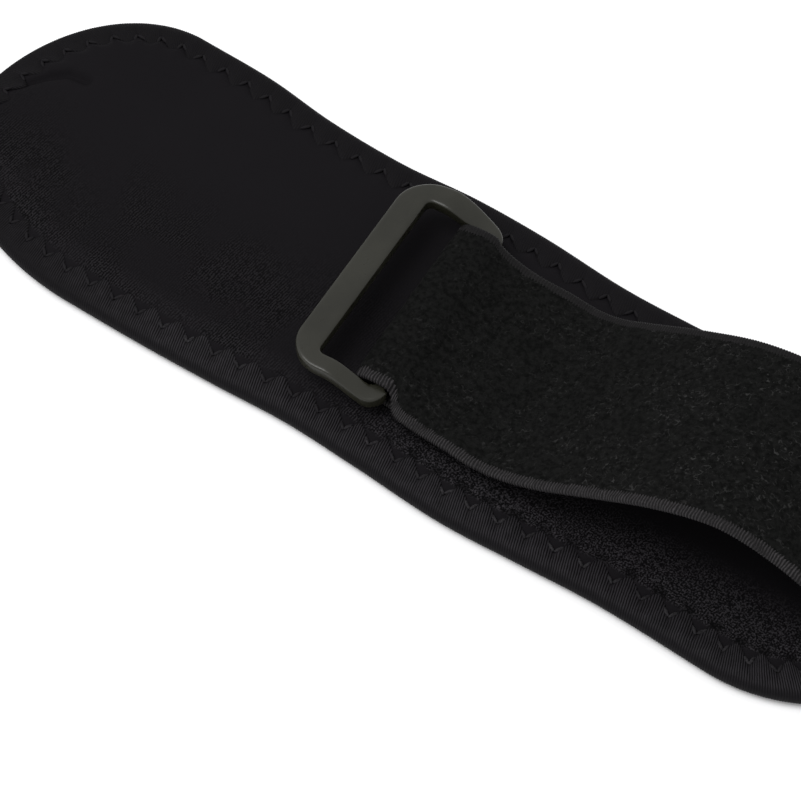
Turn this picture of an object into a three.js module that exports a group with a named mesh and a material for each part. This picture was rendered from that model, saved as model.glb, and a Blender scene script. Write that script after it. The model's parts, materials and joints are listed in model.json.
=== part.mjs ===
// Wrist brace laid flat: a padded band with a bound edge, a loop-pile strap folded round the bar
// of a plastic ring, and a gripping patch on the strap's free end.
// Millimetres. +X runs along the band from the ring to the strap's free end, +Z is up.
// While the pieces are made, x = 0 is the slot's edge at the ring's bare bar, and z = 0 the table.
import * as THREE from 'three';

const GAP = 0.3;

// Padded band
const BAND = { thickness: 5.0, swell: 3.0, outlineSteps: 96 };
const BAND_TIPS = { left: -116, right: 155 };
// Half widths at stations along the band, towards the front (near) and the back (far).
const BAND_WIDTHS = [
  { x: -82, near: 39.9, far: 41.4 },
  { x: -60, near: 39.6, far: 40.7 },
  { x: -40, near: 39.4, far: 38.4 },
  { x: -18, near: 38.8, far: 38.0 },
  { x: 2, near: 37.6, far: 39.2 },
  { x: 22, near: 38.3, far: 38.5 },
  { x: 46, near: 39.5, far: 36.8 },
  { x: 66, near: 38.7, far: 37.2 },
  { x: 86, near: 37.1, far: 37.8 },
  { x: 115, near: 38.2, far: 38.0 },
];
// Where each rounded end begins, on the near and the far side.
const END_STARTS = { leftNear: -60, leftFar: -82, right: 115 };

// Edge binding: a folded tape, as wide on each face as `cover`
const BINDING = { wall: 0.9, cover: 8.5, height: 4.8, round: 1.6 };

// Ring: a cranked rectangle whose bare bar stands higher than the bar in the strap's fold
const RING = {
  slotWidth: 50,
  slotLength: 13.8,
  armWidth: 5.4,
  bareBarWidth: 7.4,
  thickness: 3.2,
  barDiameter: 4.4,
  armOverhang: 3.4,
  crank: 3.9,
  crankFrom: 0,
  crankTo: 12,
  bareCorners: { outer: 8.5, inner: 1.6 },
  foldCorners: { outer: 5, inner: 0.2 },
  cornerSteps: 6,
  sectionSides: 12,
  sectionPower: 0.55,
  skewDegrees: 5.2,
};
const RING_BAR = { x: 16, y: 1.1 };

// Strap
const STRAP = { width: 52.5, foldWidth: 49.0, thickness: 1.9, tuckLength: 34, tuckDrift: -2.6 };
const RIBBON_EDGE_EASE = 0.3;
const LAYER_GAP = 0.4;
const LOWER_LAYER_Z = BAND.thickness + LAYER_GAP + STRAP.thickness / 2;
const FOLD_RADIUS = RING.barDiameter / 2 + LAYER_GAP + STRAP.thickness / 2;
const BAR_Z = LOWER_LAYER_Z + FOLD_RADIUS;
const FOLD_TOP_Z = BAR_Z + FOLD_RADIUS;
const TUCK_PARTS = [1, 0.66, 0.33];
const FOLD_STEPS = 8;
const STEPS_PER_ROW = 3;
// The upper layer from the fold to the free end: its centre line, the roll and yaw of its crosswise
// line in degrees, and its width.
const STRAP_RUN = [
  { x: 16, y: 1.1, z: FOLD_TOP_Z, roll: 0, yaw: 5.2, width: STRAP.foldWidth },
  { x: 20, y: 0.9, z: 12.7, roll: 0, yaw: 5.2, width: STRAP.foldWidth },
  { x: 25, y: 0.4, z: 10.7, roll: 0, yaw: 4, width: 50.0 },
  { x: 31, y: -0.5, z: 9.1, roll: 0, yaw: 2, width: 51.0 },
  { x: 38, y: -1.2, z: 8.65, roll: 0, yaw: 0, width: 51.8 },
  { x: 46, y: -1.6, z: 8.85, roll: 0, yaw: 0, width: STRAP.width },
  { x: 53, y: -1.7, z: 10.6, roll: 0, yaw: 1, width: STRAP.width },
  { x: 61, y: -1.4, z: 14.2, roll: 0, yaw: 3, width: STRAP.width },
  { x: 75, y: -0.1, z: 21.1, roll: -1.6, yaw: 5, width: STRAP.width },
  { x: 89, y: 1.0, z: 27.3, roll: -3.4, yaw: 5, width: STRAP.width },
  { x: 103, y: 2.4, z: 29.5, roll: -5.9, yaw: 5, width: STRAP.width },
  { x: 116, y: 3.4, z: 27.4, roll: -5.0, yaw: 4, width: STRAP.width },
  { x: 128, y: 4.2, z: 22.6, roll: -3.2, yaw: 3, width: STRAP.width },
  { x: 141, y: 4.6, z: 15.8, roll: -1, yaw: 1, width: STRAP.width },
  { x: 155, y: 4.6, z: 9.4, roll: 0, yaw: 0, width: STRAP.width },
  { x: 170, y: 4.6, z: 4.4, roll: 0, yaw: 0, width: STRAP.width },
  { x: 184, y: 4.6, z: 1.7, roll: 0, yaw: 0, width: STRAP.width },
  { x: 196, y: 4.6, z: 1.0, roll: 0, yaw: 0, width: STRAP.width },
  { x: 203, y: 4.6, z: 1.0, roll: 0, yaw: 0, width: 51.5 },
  { x: 207, y: 4.6, z: 1.0, roll: 0, yaw: 0, width: 46 },
  { x: 208.5, y: 4.6, z: 1.0, roll: 0, yaw: 0, width: 37 },
];

// Gripping patch on the top face of the free end
const PATCH = { width: 46, thickness: 1.1, fromX: 164, toX: 202, steps: 14, cornerCut: 3 };

const radians = THREE.MathUtils.degToRad;

// Skins a row of matching sections. Sections with a cap outline are closed by it at both ends, and
// without one the last section joins the first.
function loft(sections, capOutline = null) {
  const size = sections[0].length;
  const spans = capOutline ? sections.length - 1 : sections.length;
  const index = [];
  for (let i = 0; i < spans; i += 1) {
    const from = i * size;
    const to = ((i + 1) % sections.length) * size;
    for (let j = 0; j < size; j += 1) {
      const next = (j + 1) % size;
      index.push(from + j, from + next, to + next);
      index.push(from + j, to + next, to + j);
    }
  }
  if (capOutline) {
    const last = (sections.length - 1) * size;
    for (const [a, b, c] of THREE.ShapeUtils.triangulateShape(capOutline, [])) {
      index.push(a, c, b);
      index.push(last + a, last + b, last + c);
    }
  }
  const geometry = new THREE.BufferGeometry().setFromPoints(sections.flat());
  geometry.setIndex(index);
  geometry.computeVertexNormals();
  return geometry;
}

// The band's outline, anticlockwise from above: a spline along each side and two quarter ellipses
// round each end, as evenly spaced points with their inward directions.
function bandOutline() {
  const side = (name, sign, startX) => BAND_WIDTHS
    .filter((row) => row.x >= startX)
    .map((row) => new THREE.Vector2(row.x, sign * row[name]));
  const near = side('near', -1, END_STARTS.leftNear);
  const far = side('far', 1, END_STARTS.leftFar).reverse();
  const path = new THREE.Path();
  const quarter = (startX, tip, halfWidth, from) => path.absellipse(
    startX, 0, Math.abs(tip - startX), halfWidth, from, from + Math.PI / 2, false,
  );
  path.moveTo(near[0].x, near[0].y);
  path.splineThru(near.slice(1));
  quarter(END_STARTS.right, BAND_TIPS.right, -near.at(-1).y, -Math.PI / 2);
  quarter(END_STARTS.right, BAND_TIPS.right, far[0].y, 0);
  path.splineThru(far.slice(1));
  quarter(END_STARTS.leftFar, BAND_TIPS.left, far.at(-1).y, Math.PI / 2);
  quarter(END_STARTS.leftNear, BAND_TIPS.left, -near[0].y, Math.PI);
  const points = path.getSpacedPoints(BAND.outlineSteps).slice(0, -1);
  return points.map((point, i) => {
    const before = points.at(i - 1);
    const after = points[(i + 1) % points.length];
    const along = after.clone().sub(before).normalize();
    return { point, inward: new THREE.Vector2(-along.y, along.x) };
  });
}

function insetOutline(outline, inset) {
  return outline.map(({ point, inward }) => point.clone().addScaledVector(inward, inset));
}

// The panel is thin where the binding grips its rim, and swells to its full thickness inside it.
function panelGeometry(outline) {
  const rimLow = BINDING.wall + GAP;
  const rimHigh = BINDING.height - rimLow;
  const noseInset = BINDING.wall + GAP;
  const rimInset = noseInset + BINDING.round;
  const gripInset = BINDING.cover + GAP;
  const fullInset = gripInset + BAND.swell;
  const rows = [
    { inset: fullInset, z: 0 },
    { inset: gripInset + GAP, z: rimLow / 2 },
    { inset: gripInset, z: rimLow },
    { inset: rimInset, z: rimLow },
    { inset: noseInset, z: BINDING.height / 2 },
    { inset: rimInset, z: rimHigh },
    { inset: gripInset, z: rimHigh },
    { inset: gripInset + GAP, z: (rimHigh + BAND.thickness) / 2 },
    { inset: fullInset, z: BAND.thickness },
  ];
  const sections = rows.map((row) => insetOutline(outline, row.inset)
    .map((point) => new THREE.Vector3(point.x, point.y, row.z)));
  return loft(sections, insetOutline(outline, fullInset));
}

// The binding's section is a rounded U, carried all round the outline.
function bindingGeometry(outline) {
  const { wall, cover, height, round } = BINDING;
  const profile = [
    { inset: cover, z: 0 },
    { inset: cover, z: wall },
    { inset: round + wall, z: wall },
    { inset: wall, z: round + wall / 2 },
    { inset: wall, z: height - round - wall / 2 },
    { inset: round + wall, z: height - wall },
    { inset: cover, z: height - wall },
    { inset: cover, z: height },
    { inset: round, z: height },
    { inset: round / 4, z: height - round / 2 },
    { inset: 0, z: height / 2 },
    { inset: round / 4, z: round / 2 },
    { inset: round, z: 0 },
  ];
  const sections = outline.map(({ point, inward }) => profile.map(({ inset, z }) => new THREE.Vector3(
    point.x + inward.x * inset,
    point.y + inward.y * inset,
    z,
  )));
  return loft(sections);
}

// A ribbon's section round a station: a thin rectangle with eased edges.
function ribbonSection({ centre, across, normal, width }, thickness, lift = 0) {
  const ease = RIBBON_EDGE_EASE * thickness;
  const half = width / 2;
  const thin = thickness / 2;
  const corners = [
    [half - ease, -thin], [half, -thin + ease], [half, thin - ease], [half - ease, thin],
    [-half + ease, thin], [-half, thin - ease], [-half, -thin + ease], [-half + ease, -thin],
  ];
  const points = corners.map(([a, n]) => centre.clone()
    .addScaledVector(across, a)
    .addScaledVector(normal, n + lift));
  return { points, outline: corners.map(([a, n]) => new THREE.Vector2(a, n)) };
}

function ribbonGeometry(stations, thickness, lift = 0) {
  const sections = stations.map((station) => ribbonSection(station, thickness, lift));
  return loft(sections.map((section) => section.points), sections[0].outline);
}

// The crosswise direction of the strap at a yaw and a roll, and the frame that it makes.
function strapStation(centre, along, yaw, roll, width) {
  const across = new THREE.Vector3(
    -Math.sin(yaw) * Math.cos(roll),
    Math.cos(yaw) * Math.cos(roll),
    Math.sin(roll),
  );
  const normal = along.clone().cross(across).normalize();
  return { centre, across, normal, width };
}

const strapPlace = new THREE.CatmullRomCurve3(
  STRAP_RUN.map((row) => new THREE.Vector3(row.x, row.y, row.z)),
);
const strapPose = new THREE.CatmullRomCurve3(
  STRAP_RUN.map((row) => new THREE.Vector3(row.roll, row.yaw, row.width)),
);

function runStation(t) {
  const pose = strapPose.getPoint(t);
  return strapStation(
    strapPlace.getPoint(t),
    strapPlace.getTangent(t),
    radians(pose.y),
    radians(pose.x),
    pose.z,
  );
}

// The tucked layer under the strap, from its end to the fold, and the fold round the ring's bar.
function foldStations() {
  const skew = radians(RING.skewDegrees);
  const ahead = new THREE.Vector3(Math.cos(skew), Math.sin(skew), 0);
  const tucked = TUCK_PARTS.map((part) => strapStation(
    new THREE.Vector3(
      RING_BAR.x + part * STRAP.tuckLength,
      RING_BAR.y + part * STRAP.tuckDrift,
      LOWER_LAYER_Z,
    ),
    new THREE.Vector3(-1, 0, 0),
    skew * (1 - part),
    0,
    STRAP.foldWidth,
  ));
  const fold = [];
  for (let i = 0; i < FOLD_STEPS; i += 1) {
    const turn = (i / FOLD_STEPS) * Math.PI;
    const centre = new THREE.Vector3(RING_BAR.x, RING_BAR.y, BAR_Z - FOLD_RADIUS * Math.cos(turn));
    centre.addScaledVector(ahead, -FOLD_RADIUS * Math.sin(turn));
    const along = ahead.clone().multiplyScalar(-Math.cos(turn)).setZ(Math.sin(turn));
    fold.push(strapStation(centre, along, skew, 0, STRAP.foldWidth));
  }
  return [...tucked, ...fold];
}

function strapGeometry() {
  const steps = (STRAP_RUN.length - 1) * STEPS_PER_ROW;
  const stations = foldStations();
  for (let i = 0; i <= steps; i += 1) {
    stations.push(runStation(i / steps));
  }
  return ribbonGeometry(stations, STRAP.thickness);
}

// The place along the strap's run, from 0 to 1, where its centre reaches an x.
function runAt(x) {
  const halvings = 40;
  let low = 0;
  let high = 1;
  for (let i = 0; i < halvings; i += 1) {
    const middle = (low + high) / 2;
    if (strapPlace.getPoint(middle).x < x) {
      low = middle;
    } else {
      high = middle;
    }
  }
  return low;
}

function patchGeometry() {
  const start = runAt(PATCH.fromX);
  const end = runAt(PATCH.toX);
  const stations = [];
  for (let i = 0; i <= PATCH.steps; i += 1) {
    const station = runStation(THREE.MathUtils.lerp(start, end, i / PATCH.steps));
    const atEnd = i === 0 || i === PATCH.steps;
    station.width = PATCH.width - (atEnd ? 2 * PATCH.cornerCut : 0);
    stations.push(station);
  }
  return ribbonGeometry(stations, PATCH.thickness, (STRAP.thickness + PATCH.thickness) / 2 + GAP);
}

// The ring in its own frame: the bar in the fold lies on y, and the bare bar is towards -x.
// Each station pairs a point of the outer outline with one of the slot's outline.
function ringStations() {
  const halfSlot = RING.slotWidth / 2;
  const halfOuter = halfSlot + RING.armWidth;
  const slotRight = -RING.barDiameter / 2;
  const slotLeft = slotRight - RING.slotLength;
  const outerLeft = slotLeft - RING.bareBarWidth;
  const stations = [];
  const corner = (side, radii, outerX, innerX, fromDegrees) => {
    for (let i = 0; i <= RING.cornerSteps; i += 1) {
      const angle = radians(fromDegrees + (90 * i) / RING.cornerSteps);
      const turn = new THREE.Vector2(Math.cos(angle), Math.sin(angle));
      const outerCentre = new THREE.Vector2(outerX, side * (halfOuter - radii.outer));
      const innerCentre = new THREE.Vector2(innerX, side * (halfSlot - radii.inner));
      stations.push({
        outer: outerCentre.addScaledVector(turn, radii.outer),
        inner: innerCentre.addScaledVector(turn, radii.inner),
        isBar: false,
      });
    }
  };
  const bareCorner = (side, fromDegrees) => corner(
    side,
    RING.bareCorners,
    outerLeft + RING.bareCorners.outer,
    slotLeft + RING.bareCorners.inner,
    fromDegrees,
  );
  const foldCorner = (side, fromDegrees) => corner(
    side,
    RING.foldCorners,
    RING.armOverhang - RING.foldCorners.outer,
    slotRight - RING.foldCorners.inner,
    fromDegrees,
  );
  const barEnd = (side) => {
    const y = side * (halfSlot - 2 * RING.foldCorners.inner);
    stations.push({
      outer: new THREE.Vector2(RING.barDiameter / 2, y),
      inner: new THREE.Vector2(slotRight, y),
      isBar: true,
    });
  };
  foldCorner(1, 0);
  bareCorner(1, 90);
  bareCorner(-1, 180);
  foldCorner(-1, 270);
  barEnd(-1);
  barEnd(1);
  return stations;
}

function ringGeometry() {
  const crankAt = (x) => RING.crank * THREE.MathUtils.smoothstep(-x, RING.crankFrom, RING.crankTo);
  const sections = ringStations().map(({ outer, inner, isBar }) => {
    const thickness = isBar ? RING.barDiameter : RING.thickness;
    const power = isBar ? 1 : RING.sectionPower;
    const shaped = (value) => Math.sign(value) * Math.abs(value) ** power;
    const middle = outer.clone().add(inner).multiplyScalar(0.5);
    const reach = inner.clone().sub(outer).multiplyScalar(0.5);
    const points = [];
    for (let i = 0; i < RING.sectionSides; i += 1) {
      const angle = (2 * Math.PI * i) / RING.sectionSides;
      const point = middle.clone().addScaledVector(reach, shaped(Math.cos(angle)));
      const z = (thickness / 2) * shaped(Math.sin(angle));
      const crank = isBar ? 0 : crankAt(point.x);
      points.push(new THREE.Vector3(point.x, point.y, z + crank));
    }
    return points;
  });
  return loft(sections);
}

const finishes = {
  neoprene: new THREE.MeshStandardMaterial({ color: 0x1a1a1c, roughness: 0.9, metalness: 0 }),
  tape: new THREE.MeshStandardMaterial({ color: 0x1e1c20, roughness: 0.8, metalness: 0 }),
  pile: new THREE.MeshStandardMaterial({ color: 0x191a19, roughness: 0.95, metalness: 0 }),
  plastic: new THREE.MeshStandardMaterial({ color: 0x3e403c, roughness: 0.5, metalness: 0 }),
  hooks: new THREE.MeshStandardMaterial({ color: 0x1b1b1b, roughness: 0.75, metalness: 0 }),
};

function piece(name, geometry, finish) {
  const mesh = new THREE.Mesh(geometry, finish);
  mesh.name = name;
  return mesh;
}

const outline = bandOutline();
const brace = new THREE.Group();
brace.add(piece('body_panel', panelGeometry(outline), finishes.neoprene));
brace.add(piece('edge_binding', bindingGeometry(outline), finishes.tape));
brace.add(piece('strap', strapGeometry(), finishes.pile));
brace.add(piece('hook_patch', patchGeometry(), finishes.hooks));

const ring = piece('ring_buckle', ringGeometry(), finishes.plastic);
ring.position.set(RING_BAR.x, RING_BAR.y, BAR_Z);
ring.rotation.z = radians(RING.skewDegrees);
brace.add(ring);

// The finished brace stands on z = 0 with its box centred on the origin.
const box = new THREE.Box3().setFromObject(brace);
const centre = box.getCenter(new THREE.Vector3());
brace.position.set(-centre.x, -centre.y, -box.min.z);

export default brace;
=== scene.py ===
"""A wrist brace laid flat: a padded band with a bound edge, a loop-pile strap, a ring and a hook patch.

Sizes are in millimetres as the brace is cut and sewn: x = 0 is near the slot's edge by the ring's bare bar,
y = 0 the band's middle line and z = 0 the table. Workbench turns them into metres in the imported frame.
"""
from __future__ import annotations

import bisect
import json
import logging
import math
from dataclasses import dataclass, field
from enum import Enum
from typing import Callable, NamedTuple, Sequence, Union

import bmesh
import bpy
from mathutils import Matrix, Vector, kdtree, noise

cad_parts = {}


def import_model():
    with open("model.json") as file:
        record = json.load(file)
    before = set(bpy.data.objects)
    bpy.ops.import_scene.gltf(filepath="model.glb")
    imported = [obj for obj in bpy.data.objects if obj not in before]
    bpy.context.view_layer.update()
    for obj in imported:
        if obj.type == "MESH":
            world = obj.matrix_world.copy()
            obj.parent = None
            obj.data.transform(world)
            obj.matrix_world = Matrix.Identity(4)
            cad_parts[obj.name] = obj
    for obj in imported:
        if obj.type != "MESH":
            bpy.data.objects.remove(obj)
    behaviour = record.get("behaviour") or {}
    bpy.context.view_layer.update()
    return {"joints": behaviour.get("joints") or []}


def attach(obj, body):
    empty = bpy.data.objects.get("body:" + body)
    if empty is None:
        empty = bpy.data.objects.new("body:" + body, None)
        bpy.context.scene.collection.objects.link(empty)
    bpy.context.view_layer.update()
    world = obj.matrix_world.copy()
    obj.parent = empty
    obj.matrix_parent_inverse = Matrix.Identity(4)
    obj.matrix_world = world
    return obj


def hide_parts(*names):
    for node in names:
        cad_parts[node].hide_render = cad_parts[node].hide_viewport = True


LOG = logging.getLogger("wrist_brace")
MM = 0.001
SEAM = 1e-7
THREAD_SIDES = 6
# The strap's width, and between which shares of its half width its near edge droops
STRAP_WIDTH = 52.5
DROOP_SPAN = (0.7, 1.0)
Colour = tuple[float, float, float]
Place = tuple[float, float, float]
Span = tuple[float, float]


class Body(Enum):
    """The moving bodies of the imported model."""

    BAND = "band"
    RING = "ring"


class Slot(Enum):
    """The record's material slots."""

    NEOPRENE = "neoprene_face"
    TAPE = "stretch_tape"
    PILE = "loop_pile"
    PLASTIC = "ring_plastic"
    HOOKS = "hook_face"


class Edge(Enum):
    """The strap's long edges, by the sign of their crosswise place."""

    NEAR = -1
    FAR = 1


class EdgeField(Enum):
    """How far in from the edge a point of the band is, in millimetres, and how full its scallop is."""

    DEPTH = "edge_depth"
    SCALLOP = "edge_scallop"


class Wire:
    """A node's output socket. An expression on wires adds the Math nodes that work it out."""

    def __init__(self, bench: NodeBench, socket: bpy.types.NodeSocket) -> None:
        """Keeps the socket and the bench that its tree is on."""
        self.bench = bench
        self.socket = socket

    def out(self, name: str) -> Wire:
        """Another output of the same node."""
        return Wire(self.bench, self.socket.node.outputs[name])

    def __add__(self, other: Feed) -> Wire:
        """This value plus the other."""
        return self.bench.math("ADD", self, other)

    def __radd__(self, other: Feed) -> Wire:
        """The other value plus this."""
        return self.bench.math("ADD", other, self)

    def __sub__(self, other: Feed) -> Wire:
        """This value less the other."""
        return self.bench.math("SUBTRACT", self, other)

    def __rsub__(self, other: Feed) -> Wire:
        """The other value less this."""
        return self.bench.math("SUBTRACT", other, self)

    def __mul__(self, other: Feed) -> Wire:
        """This value times the other."""
        return self.bench.math("MULTIPLY", self, other)

    def __rmul__(self, other: Feed) -> Wire:
        """The other value times this."""
        return self.bench.math("MULTIPLY", other, self)

    def __abs__(self) -> Wire:
        """This value without its sign."""
        return self.bench.math("ABSOLUTE", self)

    def sine(self) -> Wire:
        """The sine of this value in radians."""
        return self.bench.math("SINE", self)

    def eased(self, low: float, high: float) -> Wire:
        """A smooth step of this value.

        Args:
            low: The value that gives 0.
            high: The value that gives 1. It may be below low.

        Returns:
            The step, held between 0 and 1.
        """
        if low > high:
            return 1 - self.eased(high, low)
        settings = {"interpolation_type": "SMOOTHSTEP"}
        return self.bench.node("ShaderNodeMapRange", settings, {"Value": self, 1: low, 2: high})

    def between(self, low: float, high: float) -> Wire:
        """This value from 0 to 1, carried to between two others."""
        return self * (high - low) + low


Feed = Union[Wire, float, Sequence[float]]


class NodeBench:
    """A material and the node tree that is made for it."""

    def __init__(self, name: str) -> None:
        """Starts an empty material.

        Args:
            name: The material's name.
        """
        self.material = bpy.data.materials.new(name)
        self.material.use_nodes = True
        self.tree = self.material.node_tree
        self.tree.nodes.clear()

    def node(
        self,
        kind: str,
        settings: dict[str, object] | None = None,
        sockets: dict[str | int, Feed] | None = None,
        out: str | int = 0,
    ) -> Wire:
        """Adds a node of any type.

        Args:
            kind: The node's type.
            settings: Properties of the node, which are set first.
            sockets: Values or wires for its inputs, by name or number.
            out: The output to give back.

        Returns:
            That output. A node with no outputs gives an empty wire.
        """
        made = self.tree.nodes.new(kind)
        for name, value in (settings or {}).items():
            setattr(made, name, value)
        for key, value in (sockets or {}).items():
            socket = made.inputs[key]
            if isinstance(value, Wire):
                self.tree.links.new(value.socket, socket)
            elif socket.type == "RGBA":
                socket.default_value = (*value[:3], 1.0)
            else:
                socket.default_value = value
        return Wire(self, made.outputs[out] if made.outputs else None)

    def math(self, operation: str, first: Feed, second: Feed = 0.0) -> Wire:
        """A Math node on one or two values."""
        return self.node("ShaderNodeMath", {"operation": operation}, {0: first, 1: second})

    def place(self, turn: float = 0.0) -> Wire:
        """Where a point is on the piece.

        Args:
            turn: Degrees to turn the pattern about Z.

        Returns:
            Object coordinates in millimetres.
        """
        rest = self.node("ShaderNodeTexCoord", out="Object")
        sockets = {"Vector": rest, "Rotation": (0.0, 0.0, math.radians(turn)), "Scale": (1 / MM,) * 3}
        return self.node("ShaderNodeMapping", None, sockets)

    def flat(self) -> Wire:
        """Where a point is on the piece's own UV map."""
        return self.node("ShaderNodeTexCoord", out="UV")

    def field(self, name: str) -> Wire:
        """A number kept on the piece's own points."""
        return self.node("ShaderNodeAttribute", {"attribute_name": name}, out="Fac")

    def axes(self, place: Wire) -> Wire:
        """The X of a place, with its Y and Z as other outputs of the node."""
        return self.node("ShaderNodeSeparateXYZ", None, {0: place})

    def nearness(self, place: Wire, span: Span) -> Wire:
        """How near the front a place is, from 0 to 1 over a span of millimetres towards -Y."""
        return (self.axes(place).out("Y") * -1).eased(*span)

    def cloud(self, place: Wire, size: float, detail: float = 2.0) -> Wire:
        """Noise from 0 to 1.

        Args:
            place: Where to read it, in millimetres.
            size: The size of its lumps in millimetres.
            detail: How many finer layers it has.

        Returns:
            The noise.
        """
        sockets = {"Vector": place, "Scale": 1 / size, "Detail": detail, "Roughness": 0.55}
        return self.node("ShaderNodeTexNoise", None, sockets)

    def waves(self, value: Wire, pitch: float) -> Wire:
        """A sine wave of a value, with a pitch in the value's own units."""
        return (value * (2 * math.pi / pitch)).sine()

    def blend(self, share: Feed, first: Feed, second: Feed) -> Wire:
        """A colour between two colours, by a share from 0 to 1."""
        return self.node("ShaderNodeMix", {"data_type": "RGBA"}, {0: share, 6: first, 7: second}, 2)

    def relief(self, height: Wire, depth: float) -> Wire:
        """A normal bumped by a height from 0 to 1, with a depth in millimetres."""
        return self.node("ShaderNodeBump", None, {"Height": height, "Distance": depth * MM})

    def surface(self, **sockets: Feed) -> bpy.types.Material:
        """Ends the tree in a Principled shader.

        Args:
            sockets: Values or wires by the socket's name, with underscores for its spaces.

        Returns:
            The finished material.
        """
        named = {name.replace("_", " "): value for name, value in sockets.items()}
        shader = self.node("ShaderNodeBsdfPrincipled", None, named)
        self.node("ShaderNodeOutputMaterial", None, {"Surface": shader})
        return self.material


@dataclass(frozen=True)
class JerseyFinish:
    """The band's face: a fine looped knit, at its clearest along the near edge and towards the right. Its
    bright loop flecks are partly painted highlight, shown only where the front light falls and faded under
    the strap's shadow, and a painted shadow darkens it beside the tape's scallops.
    """

    name: str = "neoprene_jersey"
    plain: Colour = (0.0056, 0.0050, 0.0060)
    # Dark pits between the loops, also the colour of the painted shade and painted shadow on the face
    pit_and_shade: Colour = (0.0006, 0.0005, 0.0007)
    loop: Colour = (0.0315, 0.0292, 0.0326)
    loop_size: float = 0.42
    fuzz_size: float = 1.2
    knit_pitch: float = 0.66
    knit_turn: float = 4.0
    drift_size: float = 3.0
    drift: float = 0.8
    patch_size: float = 16.0
    patch_span: Span = (0.4, 0.62)
    grain_span: Span = (0.44, 0.74)
    front_light_span: Span = (13.0, 22.0)
    left_near_span: Span = (-10.0, 16.0)
    right_span: Span = (-50.0, -5.0)
    strip_span: Span = (15.0, 10.0)
    seam_span: Span = (7.6, 8.8)
    lobe_shadow_span: Span = (11.0, 9.0)
    full_span: Span = (0.5, 0.9)
    strip_clear: Span = (0.2, 0.5)
    left_clear: Span = (0.06, 0.26)
    right_clear: float = 0.72
    patch_clear: float = 0.02
    wale_share: Span = (0.06, 0.28)
    left_dark: float = 0.08
    lobe_shadow_strength: Span = (0.2, 1.0)
    bump: float = 0.14

    def make(self) -> bpy.types.Material:
        """Builds the material.

        Returns:
            The material.
        """
        bench = NodeBench(self.name)
        place, level = bench.place(self.knit_turn), bench.place()
        depth, scallop = bench.field(EdgeField.DEPTH.value), bench.field(EdgeField.SCALLOP.value)
        # Painted highlight: the bright loop flecks show only where the front light falls along the near
        # edge, and fade where the strap's shadow lies
        near = bench.nearness(level, self.front_light_span)
        right = bench.axes(level).eased(*self.right_span)
        left = 1 - right
        drift = bench.cloud(place, self.drift_size) * self.drift
        wales = bench.waves(bench.axes(place) + drift, self.knit_pitch) * 0.5 + 0.5
        loops = bench.cloud(place, self.loop_size, 1.0)
        patches = bench.cloud(place, self.patch_size).eased(*self.patch_span)
        strip = depth.eased(*self.strip_span) * near * right.between(*self.strip_clear)
        faint = bench.nearness(level, self.left_near_span) * left * patches.between(*self.left_clear)
        spread = near * right * self.right_clear + faint + patches * self.patch_clear
        beyond_seam = depth.eased(*self.seam_span)
        clear = (spread + strip * (1 - spread)) * beyond_seam
        knit = loops + wales * left.between(*self.wale_share) - left * self.left_dark
        grain = knit.eased(*self.grain_span)
        speckled = bench.blend(grain, self.pit_and_shade, self.loop)
        shaded = bench.blend(faint * beyond_seam * 3.0, self.plain, self.pit_and_shade)
        cloth = bench.blend(clear, shaded, speckled)
        # Painted shadow: the face is darkened just beyond each full scallop of the tape on the near side,
        # where the tape's lip casts shade
        over_lobe = depth.eased(*self.lobe_shadow_span) * scallop.eased(*self.full_span)
        lobe_shadow = beyond_seam * over_lobe * near * right.between(*self.lobe_shadow_strength)
        height = grain * clear * 0.7 + bench.cloud(place, self.fuzz_size, 3.0) * 0.3
        return bench.surface(
            Base_Color=bench.blend(lobe_shadow * 0.7, cloth, self.pit_and_shade),
            Roughness=0.8 - grain * clear * 0.2,
            Normal=bench.relief(height, self.bump),
            Specular_IOR_Level=0.05,
        )


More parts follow.
